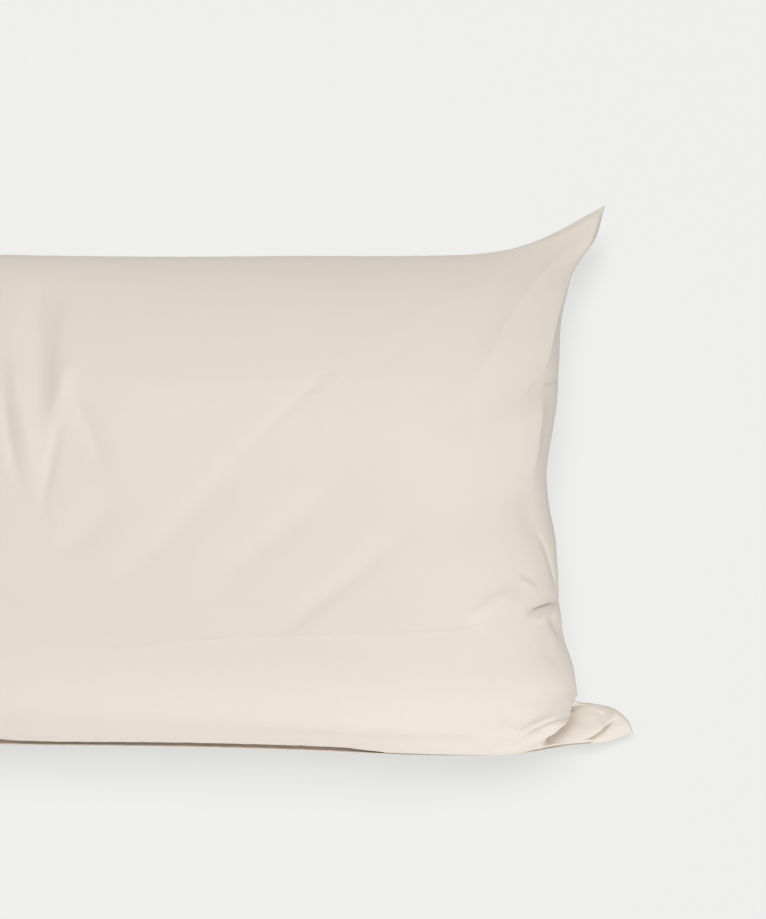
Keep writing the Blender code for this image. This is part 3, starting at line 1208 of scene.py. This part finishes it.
@dataclass
class FilledCase:
    """The pillowcase: two panels sewn on all four sides and filled.

    Args:
        form: the filled form.
        grid: the lines of quads.
        broad: the broad shapes of the filling.
        folds: the folds and puckers of the face.
        sharp: its sharp creases.
        edge: the seam allowance's band.
        tuck: the tuck over the lower seam.
        settling: how the cloth settles over the filling.
        finish: the cloth.
        seam_hold: how far in from the seam, in millimetres, the folds reach their full height.
        rest_hold: how high above the floor, in metres, the back's puckers do.
        fill: share of the case's height that the filling holds up; it is not used.
    """

    form: FilledForm = field(default_factory=FilledForm)
    grid: PanelGrid = field(default_factory=PanelGrid)
    broad: CreaseSet = field(default_factory=lambda: CreaseSet(BROAD_FOLDS, fade=0.16))
    folds: CreaseSet = field(default_factory=lambda: CreaseSet(FINE_FOLDS))
    sharp: CreaseSet = field(default_factory=lambda: CreaseSet(SHARP_CREASES, fade=0.08))
    edge: SewnEdge = field(default_factory=SewnEdge)
    tuck: Tuck = field(default_factory=Tuck)
    settling: Settling = field(default_factory=Settling)
    finish: Percale = field(default_factory=Percale)
    seam_hold: float = 6.0
    rest_hold: float = 0.02
    fill: float = 0.85

    def add_panel(self, mesh: bmesh.types.BMesh, side: Side) -> None:
        """Add one panel as a grid, place its points and note where each lies in the flat cloth.

        Args:
            mesh: what the panel is added to.
            side: which panel.
        """
        made = bmesh.ops.create_grid(
            mesh,
            x_segments=self.grid.length_cells,
            y_segments=self.grid.width_cells,
            size=0.5,
        )["verts"]
        flat = np.array([vert.co for vert in made]) + 0.5
        u, v = self.grid.shares(flat)
        places = self.form.panel(side)(u, v)
        cloth = mesh.verts.layers.float_vector["cloth"]
        shift = 0.0 if side is Side.FACE else self.form.width
        for vert, place, across, up in zip(made, places, u, v):
            vert.co = place
            vert[cloth] = (across * self.form.length, up * self.form.width + shift, 0.0)
        if side is Side.BACK:
            self.thin_out(mesh, made, flat)

    def thin_out(
        self, mesh: bmesh.types.BMesh, verts: list[bmesh.types.BMVert], flat: np.ndarray
    ) -> None:
        """Leave every other line of quads out of a panel, but keep all points of its seam.

        Args:
            mesh: the panel.
            verts: its points.
            flat: where each lies on an even grid from 0 to 1.
        """
        column = np.rint(flat[:, 0] * self.grid.length_cells).astype(int)
        row = np.rint(flat[:, 1] * self.grid.width_cells).astype(int)
        inside = (column % self.grid.length_cells > 0) & (row % self.grid.width_cells > 0)
        odd = column % 2 + row % 2
        for left_out in (odd == 2, odd == 1):
            gone = [verts[index] for index in np.nonzero(inside & left_out)[0]]
            bmesh.ops.dissolve_verts(mesh, verts=gone)

    def map_cloth(self, mesh: bmesh.types.BMesh) -> None:
        """Write the flat cloth's places into the UV map, a metre to a unit.

        Args:
            mesh: the panel.
        """
        cloth = mesh.verts.layers.float_vector["cloth"]
        uv = mesh.loops.layers.uv["cloth"]
        for face in mesh.faces:
            for loop in face.loops:
                loop[uv].uv = loop.vert[cloth].xy

    def crease(self, mesh: bmesh.types.BMesh, side: Side, puckers: np.ndarray) -> None:
        """Lift a panel's points along their normals by its folds, its puckers and its seam.

        Args:
            mesh: the panel.
            side: which panel it is.
            puckers: the lift of the even grid's points.
        """
        mesh.normal_update()
        verts = list(mesh.verts)
        cloth = mesh.verts.layers.float_vector["cloth"]
        flat = np.array([vert[cloth] for vert in verts])
        u = flat[:, 0] / self.form.length
        v = flat[:, 1] / self.form.width - (0.0 if side is Side.FACE else 1.0)
        x = (u - 0.5) * self.form.length / MM
        y = (v - 0.5) * self.form.width / MM
        lift = self.settling.sample(puckers, u, v)
        if side is Side.FACE:
            for creases in (self.broad, self.folds, self.sharp):
                lift = lift + creases.rise(x, y)
        lift = lift * self.freedom(x, y) + self.edge.rise(x, y, self.form)
        normals = np.array([vert.normal for vert in verts])
        places = np.array([vert.co for vert in verts])
        if side is Side.BACK:
            lift = lift * np.minimum(1.0, places[:, 2] / self.rest_hold)
        places = places + normals * lift[:, None]
        if side is Side.FACE:
            places = self.tuck.shape(self.form, x, y, places)
        places[:, 2] = np.maximum(places[:, 2], 0.0)
        for vert, place in zip(verts, places):
            vert.co = place

    def freedom(self, x: np.ndarray, y: np.ndarray) -> np.ndarray:
        """Return 0 on the seam, which stays in line, and 1 where the cloth lifts freely."""
        return eased(np.minimum(*self.form.from_seams(x, y)) / self.seam_hold)

    def panel(self, side: Side, puckers: np.ndarray) -> bpy.types.Mesh:
        """Make one panel as it lies in the filled case.

        Args:
            side: which panel.
            puckers: the lift of the even grid's points.

        Returns:
            The panel, creased and mapped, facing outwards.
        """
        mesh = bmesh.new()
        mesh.verts.layers.float_vector.new("cloth")
        mesh.loops.layers.uv.new("cloth")
        self.add_panel(mesh, side)
        bmesh.ops.recalc_face_normals(mesh, faces=mesh.faces)
        mesh.normal_update()
        middle = sum((face.normal * face.calc_area() for face in mesh.faces), Vector())
        if (middle.z > 0) != (side is Side.FACE):
            bmesh.ops.reverse_faces(mesh, faces=mesh.faces)
        self.crease(mesh, side, puckers)
        self.map_cloth(mesh)
        return finished(side.value, mesh)

    def build(self) -> bpy.types.Object:
        """Sew the two panels into one closed piece.

        Returns:
            The object, at the origin, with its place in its mesh.
        """
        puckers = self.settling.settle(self.form)
        panels = [self.panel(side, puckers[side]) for side in Side]
        case = bmesh.new()
        for data in panels:
            case.from_mesh(data)
            bpy.data.meshes.remove(data)
        bmesh.ops.remove_doubles(case, verts=case.verts, dist=WELD)
        bmesh.ops.recalc_face_normals(case, faces=case.faces)
        self.part_at_seam(case)
        data = finished("case_cloth", case)
        data.shade_smooth()
        return put_in_scene("case_cloth", data)

    def part_at_seam(self, mesh: bmesh.types.BMesh) -> None:
        """Divide the quads at each tip from the tip inwards, so that the two panels part there.

        Args:
            mesh: both panels, joined.
        """
        for vert in [vert for vert in mesh.verts if len(vert.link_edges) == 2]:
            for face in list(vert.link_faces):
                inner = max(face.verts, key=lambda other: (other.co - vert.co).length)
                bmesh.utils.face_split(face, vert, inner)

    def dress(self, piece: bpy.types.Object) -> None:
        """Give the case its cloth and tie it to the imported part.

        Args:
            piece: the case's object.
        """
        piece.data.materials.append(self.finish.make())
        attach(piece, "root")
        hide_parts("pillowcase")


@dataclass(frozen=True)
class Lamp:
    """A soft square lamp that shines on the case: its place, its size and its power."""

    name: str
    place: Place
    size: float
    power: float


@dataclass(frozen=True)
class Sun:
    """Even light on the floor: where it comes from, how soft and how strong it is."""

    name: str
    source: Place
    angle: float
    strength: float


@dataclass(frozen=True)
class Camera:
    """The camera, square to the face but for a small tilt from below the lower side.

    Args:
        tilt: the tilt, in degrees.
        lens: focal length, in millimetres.
        sensor: the sensor's width, in millimetres.
        distance: how far the camera is from the point that it looks at, in metres.
        aim: that point.
    """

    tilt: float = 8.0
    lens: float = 85.0
    sensor: float = 36.0
    distance: float = 1.855
    aim: Place = (0.1590, 0.0155, 0.060)

    def place(self) -> None:
        """Make the camera and look through it."""
        angle = math.radians(self.tilt)
        back = Vector((0.0, -math.sin(angle), math.cos(angle)))
        up = Vector((0.0, 1.0, 0.0))
        up = (up - up.dot(back) * back).normalized()
        data = bpy.data.cameras.new("camera")
        data.lens = self.lens
        data.sensor_width = self.sensor
        camera = put_in_scene("camera", data)
        camera.location = Vector(self.aim) + back * self.distance
        camera.rotation_euler = Matrix((up.cross(back), up, back)).transposed().to_euler()
        bpy.context.scene.camera = camera


@dataclass
class Studio:
    """A pale floor that glows evenly, and soft lamps.

    Args:
        floor_size: length of the floor's sides, in metres.
        floor_colour: its colour.
        floor_glow: colour of its glow.
        floor_roughness: how matte it is.
        floor_specular: how much it mirrors.
        sky: how bright the light from all around is.
        lamps: the lamps that shine on the case.
        aim: the point that they face.
        sun: the light that shines on the floor.
    """

    floor_size: float = 8.0
    floor_colour: Colour = (0.10, 0.10, 0.099)
    floor_glow: Colour = (0.684, 0.684, 0.669)
    floor_roughness: float = 0.95
    floor_specular: float = 0.1
    sky: float = 0.20
    lamps: tuple[Lamp, ...] = (
        Lamp("low_lamp", (0.1, -2.51, 0.72), 1.6, 31.5),
        Lamp("low_right_lamp", (1.69, -1.59, 1.35), 1.6, 31.1),
        Lamp("high_lamp", (0.1, 1.67, 2.04), 1.6, 40.7),
        Lamp("left_lamp", (-2.15, 0.0, 1.35), 1.6, 10.4),
    )
    aim: Place = (0.1, 0.0, 0.05)
    sun: Sun = Sun("floor_shade", (-0.08, 0.30, 1.0), 0.50, 5.0)

    def floor(self) -> bpy.types.Object:
        """Make the floor that the case lies on, whose glow doesn't light the case.

        Returns:
            The floor's object.
        """
        mesh = bmesh.new()
        bmesh.ops.create_grid(mesh, x_segments=1, y_segments=1, size=0.5 * self.floor_size)
        data = finished("floor", mesh)
        material = bpy.data.materials.new("floor_paper")
        material.use_nodes = True
        set_inputs(
            material.node_tree.nodes["Principled BSDF"],
            {
                "Base Color": (*self.floor_colour, 1.0),
                "Roughness": self.floor_roughness,
                "Specular IOR Level": self.floor_specular,
                "Emission Color": (*self.floor_glow, 1.0),
                "Emission Strength": 1.0,
            },
        )
        data.materials.append(material)
        floor = put_in_scene("floor", data)
        floor.visible_diffuse = False
        return floor

    def hang(
        self, light: bpy.types.Light, place: Place, aim: Place, only: bpy.types.Collection
    ) -> None:
        """Hang one light so that it shines on its own things only.

        Args:
            light: the light.
            place: where it hangs.
            aim: the point that it faces.
            only: what it shines on.
        """
        thing = put_in_scene(light.name, light)
        thing.location = place
        heading = Vector(aim) - Vector(place)
        thing.rotation_euler = heading.to_track_quat("-Z", "Y").to_euler()
        thing.light_linking.receiver_collection = only

    def alone(self, name: str, thing: bpy.types.Object) -> bpy.types.Collection:
        """Return a collection that holds one thing, for lights to shine on.

        Args:
            name: the collection's name.
            thing: the thing.

        Returns:
            The collection.
        """
        group = bpy.data.collections.new(name)
        group.objects.link(thing)
        return group

    def light(self, case: bpy.types.Object, floor: bpy.types.Object) -> None:
        """Light the case and the floor.

        Args:
            case: the filled case.
            floor: the floor under it.
        """
        world = bpy.data.worlds.new("room")
        world.use_nodes = True
        sky = world.node_tree.nodes["Background"]
        set_inputs(sky, {"Strength": self.sky, "Color": (1.0, 1.0, 1.0, 1.0)})
        bpy.context.scene.world = world
        lit_case = self.alone("lit_case", case)
        for lamp in self.lamps:
            light = bpy.data.lights.new(lamp.name, "AREA")
            light.size = lamp.size
            light.energy = lamp.power
            self.hang(light, lamp.place, self.aim, lit_case)
        light = bpy.data.lights.new(self.sun.name, "SUN")
        light.angle = self.sun.angle
        light.energy = self.sun.strength
        self.hang(light, self.sun.source, (0.0, 0.0, 0.0), self.alone("lit_floor", floor))


def main() -> None:
    """Build the case and its studio, and report each piece."""
    logging.basicConfig(level=logging.INFO, format="%(name)s: %(message)s")
    bpy.context.scene.view_settings.view_transform = "Standard"
    Camera().place()
    case = FilledCase()
    piece = case.build()
    case.dress(piece)
    LOG.info("case_cloth: %d faces", len(piece.data.polygons))
    studio = Studio()
    floor = studio.floor()
    studio.light(piece, floor)
    LOG.info("floor and %d lamps", len(studio.lamps))


if __name__ == "__main__":
    main()
